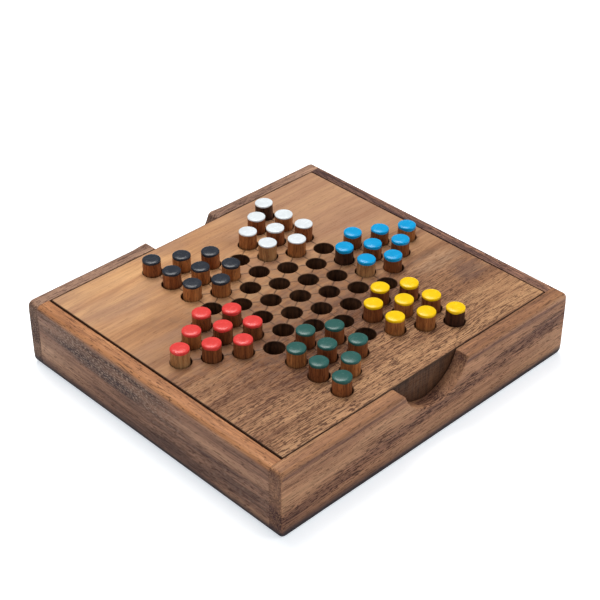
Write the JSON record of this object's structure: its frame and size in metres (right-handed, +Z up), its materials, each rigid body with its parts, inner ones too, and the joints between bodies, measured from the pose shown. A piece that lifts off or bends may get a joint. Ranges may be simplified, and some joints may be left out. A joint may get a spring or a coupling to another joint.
{
  "type": "chinese checkers board",
  "caption": "Shallow wooden box whose lift-out board is drilled with a star of peg holes for Chinese checkers, with loose colour-topped pegs and finger notches.",
  "frame": {"origin": "middle of the flat underside of the box", "axes": "+Z up, +X along the longer, notched walls towards the blue arm of the star, +Y towards the back wall between the white and black arms"},
  "size_m": [0.18, 0.166, 0.042],
  "materials": {
    "frame_wood": "oiled satin, dark open grain",
    "board_wood": "oiled satin, holes and scored lines burnt dark",
    "base_wood": "plain sanded panel",
    "ledge_wood": "plain sanded strip",
    "blue_peg": "bare oiled dowel, glossy blue painted top",
    "white_peg": "bare oiled dowel, glossy white painted top",
    "black_peg": "bare oiled dowel, glossy black painted top",
    "red_peg": "bare oiled dowel, glossy red painted top",
    "green_peg": "bare oiled dowel, glossy green painted top",
    "yellow_peg": "bare oiled dowel, glossy yellow painted top"
  },
  "bodies": {
    "tray": {"front_wall": "frame_wood", "back_wall": "frame_wood", "left_wall": "frame_wood", "right_wall": "frame_wood", "base_panel": "base_wood", "front_ledge": "ledge_wood", "back_ledge": "ledge_wood", "left_ledge": "ledge_wood", "right_ledge": "ledge_wood"},
    "board": {"playing_board": "board_wood"},
    "peg_blue_1": {"peg_blue_1": "blue_peg"},
    "peg_blue_2": {"peg_blue_2": "blue_peg"},
    "peg_blue_3": {"peg_blue_3": "blue_peg"},
    "peg_blue_4": {"peg_blue_4": "blue_peg"},
    "peg_blue_5": {"peg_blue_5": "blue_peg"},
    "peg_blue_6": {"peg_blue_6": "blue_peg"},
    "peg_blue_7": {"peg_blue_7": "blue_peg"},
    "peg_blue_8": {"peg_blue_8": "blue_peg"},
    "peg_white_1": {"peg_white_1": "white_peg"},
    "peg_white_2": {"peg_white_2": "white_peg"},
    "peg_white_3": {"peg_white_3": "white_peg"},
    "peg_white_4": {"peg_white_4": "white_peg"},
    "peg_white_5": {"peg_white_5": "white_peg"},
    "peg_white_6": {"peg_white_6": "white_peg"},
    "peg_white_7": {"peg_white_7": "white_peg"},
    "peg_white_8": {"peg_white_8": "white_peg"},
    "peg_black_1": {"peg_black_1": "black_peg"},
    "peg_black_2": {"peg_black_2": "black_peg"},
    "peg_black_3": {"peg_black_3": "black_peg"},
    "peg_black_4": {"peg_black_4": "black_peg"},
    "peg_black_5": {"peg_black_5": "black_peg"},
    "peg_black_6": {"peg_black_6": "black_peg"},
    "peg_black_7": {"peg_black_7": "black_peg"},
    "peg_black_8": {"peg_black_8": "black_peg"},
    "peg_red_1": {"peg_red_1": "red_peg"},
    "peg_red_2": {"peg_red_2": "red_peg"},
    "peg_red_3": {"peg_red_3": "red_peg"},
    "peg_red_4": {"peg_red_4": "red_peg"},
    "peg_red_5": {"peg_red_5": "red_peg"},
    "peg_red_6": {"peg_red_6": "red_peg"},
    "peg_red_7": {"peg_red_7": "red_peg"},
    "peg_red_8": {"peg_red_8": "red_peg"},
    "peg_green_1": {"peg_green_1": "green_peg"},
    "peg_green_2": {"peg_green_2": "green_peg"},
    "peg_green_3": {"peg_green_3": "green_peg"},
    "peg_green_4": {"peg_green_4": "green_peg"},
    "peg_green_5": {"peg_green_5": "green_peg"},
    "peg_green_6": {"peg_green_6": "green_peg"},
    "peg_green_7": {"peg_green_7": "green_peg"},
    "peg_green_8": {"peg_green_8": "green_peg"},
    "peg_yellow_1": {"peg_yellow_1": "yellow_peg"},
    "peg_yellow_2": {"peg_yellow_2": "yellow_peg"},
    "peg_yellow_3": {"peg_yellow_3": "yellow_peg"},
    "peg_yellow_4": {"peg_yellow_4": "yellow_peg"},
    "peg_yellow_5": {"peg_yellow_5": "yellow_peg"},
    "peg_yellow_6": {"peg_yellow_6": "yellow_peg"},
    "peg_yellow_7": {"peg_yellow_7": "yellow_peg"},
    "peg_yellow_8": {"peg_yellow_8": "yellow_peg"}
  },
  "joints": [
    {"name": "board_lift", "type": "slide", "parent": "tray", "child": "board", "axis": [0, 0, 1], "range_m": [0, 0.03]},
    {"name": "peg_blue_1_lift", "type": "slide", "parent": "board", "child": "peg_blue_1", "axis": [0, 0, 1], "range_m": [0, 0.015]},
    {"name": "peg_blue_2_lift", "type": "slide", "parent": "board", "child": "peg_blue_2", "axis": [0, 0, 1], "range_m": [0, 0.015]},
    {"name": "peg_blue_3_lift", "type": "slide", "parent": "board", "child": "peg_blue_3", "axis": [0, 0, 1], "range_m": [0, 0.015]},
    {"name": "peg_blue_4_lift", "type": "slide", "parent": "board", "child": "peg_blue_4", "axis": [0, 0, 1], "range_m": [0, 0.015]},
    {"name": "peg_blue_5_lift", "type": "slide", "parent": "board", "child": "peg_blue_5", "axis": [0, 0, 1], "range_m": [0, 0.015]},
    {"name": "peg_blue_6_lift", "type": "slide", "parent": "board", "child": "peg_blue_6", "axis": [0, 0, 1], "range_m": [0, 0.015]},
    {"name": "peg_blue_7_lift", "type": "slide", "parent": "board", "child": "peg_blue_7", "axis": [0, 0, 1], "range_m": [0, 0.015]},
    {"name": "peg_blue_8_lift", "type": "slide", "parent": "board", "child": "peg_blue_8", "axis": [0, 0, 1], "range_m": [0, 0.015]},
    {"name": "peg_white_1_lift", "type": "slide", "parent": "board", "child": "peg_white_1", "axis": [0, 0, 1], "range_m": [0, 0.015]},
    {"name": "peg_white_2_lift", "type": "slide", "parent": "board", "child": "peg_white_2", "axis": [0, 0, 1], "range_m": [0, 0.015]},
    {"name": "peg_white_3_lift", "type": "slide", "parent": "board", "child": "peg_white_3", "axis": [0, 0, 1], "range_m": [0, 0.015]},
    {"name": "peg_white_4_lift", "type": "slide", "parent": "board", "child": "peg_white_4", "axis": [0, 0, 1], "range_m": [0, 0.015]},
    {"name": "peg_white_5_lift", "type": "slide", "parent": "board", "child": "peg_white_5", "axis": [0, 0, 1], "range_m": [0, 0.015]},
    {"name": "peg_white_6_lift", "type": "slide", "parent": "board", "child": "peg_white_6", "axis": [0, 0, 1], "range_m": [0, 0.015]},
    {"name": "peg_white_7_lift", "type": "slide", "parent": "board", "child": "peg_white_7", "axis": [0, 0, 1], "range_m": [0, 0.015]},
    {"name": "peg_white_8_lift", "type": "slide", "parent": "board", "child": "peg_white_8", "axis": [0, 0, 1], "range_m": [0, 0.015]},
    {"name": "peg_black_1_lift", "type": "slide", "parent": "board", "child": "peg_black_1", "axis": [0, 0, 1], "range_m": [0, 0.015]},
    {"name": "peg_black_2_lift", "type": "slide", "parent": "board", "child": "peg_black_2", "axis": [0, 0, 1], "range_m": [0, 0.015]},
    {"name": "peg_black_3_lift", "type": "slide", "parent": "board", "child": "peg_black_3", "axis": [0, 0, 1], "range_m": [0, 0.015]},
    {"name": "peg_black_4_lift", "type": "slide", "parent": "board", "child": "peg_black_4", "axis": [0, 0, 1], "range_m": [0, 0.015]},
    {"name": "peg_black_5_lift", "type": "slide", "parent": "board", "child": "peg_black_5", "axis": [0, 0, 1], "range_m": [0, 0.015]},
    {"name": "peg_black_6_lift", "type": "slide", "parent": "board", "child": "peg_black_6", "axis": [0, 0, 1], "range_m": [0, 0.015]},
    {"name": "peg_black_7_lift", "type": "slide", "parent": "board", "child": "peg_black_7", "axis": [0, 0, 1], "range_m": [0, 0.015]},
    {"name": "peg_black_8_lift", "type": "slide", "parent": "board", "child": "peg_black_8", "axis": [0, 0, 1], "range_m": [0, 0.015]},
    {"name": "peg_red_1_lift", "type": "slide", "parent": "board", "child": "peg_red_1", "axis": [0, 0, 1], "range_m": [0, 0.015]},
    {"name": "peg_red_2_lift", "type": "slide", "parent": "board", "child": "peg_red_2", "axis": [0, 0, 1], "range_m": [0, 0.015]},
    {"name": "peg_red_3_lift", "type": "slide", "parent": "board", "child": "peg_red_3", "axis": [0, 0, 1], "range_m": [0, 0.015]},
    {"name": "peg_red_4_lift", "type": "slide", "parent": "board", "child": "peg_red_4", "axis": [0, 0, 1], "range_m": [0, 0.015]},
    {"name": "peg_red_5_lift", "type": "slide", "parent": "board", "child": "peg_red_5", "axis": [0, 0, 1], "range_m": [0, 0.015]},
    {"name": "peg_red_6_lift", "type": "slide", "parent": "board", "child": "peg_red_6", "axis": [0, 0, 1], "range_m": [0, 0.015]},
    {"name": "peg_red_7_lift", "type": "slide", "parent": "board", "child": "peg_red_7", "axis": [0, 0, 1], "range_m": [0, 0.015]},
    {"name": "peg_red_8_lift", "type": "slide", "parent": "board", "child": "peg_red_8", "axis": [0, 0, 1], "range_m": [0, 0.015]},
    {"name": "peg_green_1_lift", "type": "slide", "parent": "board", "child": "peg_green_1", "axis": [0, 0, 1], "range_m": [0, 0.015]},
    {"name": "peg_green_2_lift", "type": "slide", "parent": "board", "child": "peg_green_2", "axis": [0, 0, 1], "range_m": [0, 0.015]},
    {"name": "peg_green_3_lift", "type": "slide", "parent": "board", "child": "peg_green_3", "axis": [0, 0, 1], "range_m": [0, 0.015]},
    {"name": "peg_green_4_lift", "type": "slide", "parent": "board", "child": "peg_green_4", "axis": [0, 0, 1], "range_m": [0, 0.015]},
    {"name": "peg_green_5_lift", "type": "slide", "parent": "board", "child": "peg_green_5", "axis": [0, 0, 1], "range_m": [0, 0.015]},
    {"name": "peg_green_6_lift", "type": "slide", "parent": "board", "child": "peg_green_6", "axis": [0, 0, 1], "range_m": [0, 0.015]},
    {"name": "peg_green_7_lift", "type": "slide", "parent": "board", "child": "peg_green_7", "axis": [0, 0, 1], "range_m": [0, 0.015]},
    {"name": "peg_green_8_lift", "type": "slide", "parent": "board", "child": "peg_green_8", "axis": [0, 0, 1], "range_m": [0, 0.015]},
    {"name": "peg_yellow_1_lift", "type": "slide", "parent": "board", "child": "peg_yellow_1", "axis": [0, 0, 1], "range_m": [0, 0.015]},
    {"name": "peg_yellow_2_lift", "type": "slide", "parent": "board", "child": "peg_yellow_2", "axis": [0, 0, 1], "range_m": [0, 0.015]},
    {"name": "peg_yellow_3_lift", "type": "slide", "parent": "board", "child": "peg_yellow_3", "axis": [0, 0, 1], "range_m": [0, 0.015]},
    {"name": "peg_yellow_4_lift", "type": "slide", "parent": "board", "child": "peg_yellow_4", "axis": [0, 0, 1], "range_m": [0, 0.015]},
    {"name": "peg_yellow_5_lift", "type": "slide", "parent": "board", "child": "peg_yellow_5", "axis": [0, 0, 1], "range_m": [0, 0.015]},
    {"name": "peg_yellow_6_lift", "type": "slide", "parent": "board", "child": "peg_yellow_6", "axis": [0, 0, 1], "range_m": [0, 0.015]},
    {"name": "peg_yellow_7_lift", "type": "slide", "parent": "board", "child": "peg_yellow_7", "axis": [0, 0, 1], "range_m": [0, 0.015]},
    {"name": "peg_yellow_8_lift", "type": "slide", "parent": "board", "child": "peg_yellow_8", "axis": [0, 0, 1], "range_m": [0, 0.015]}
  ]
}
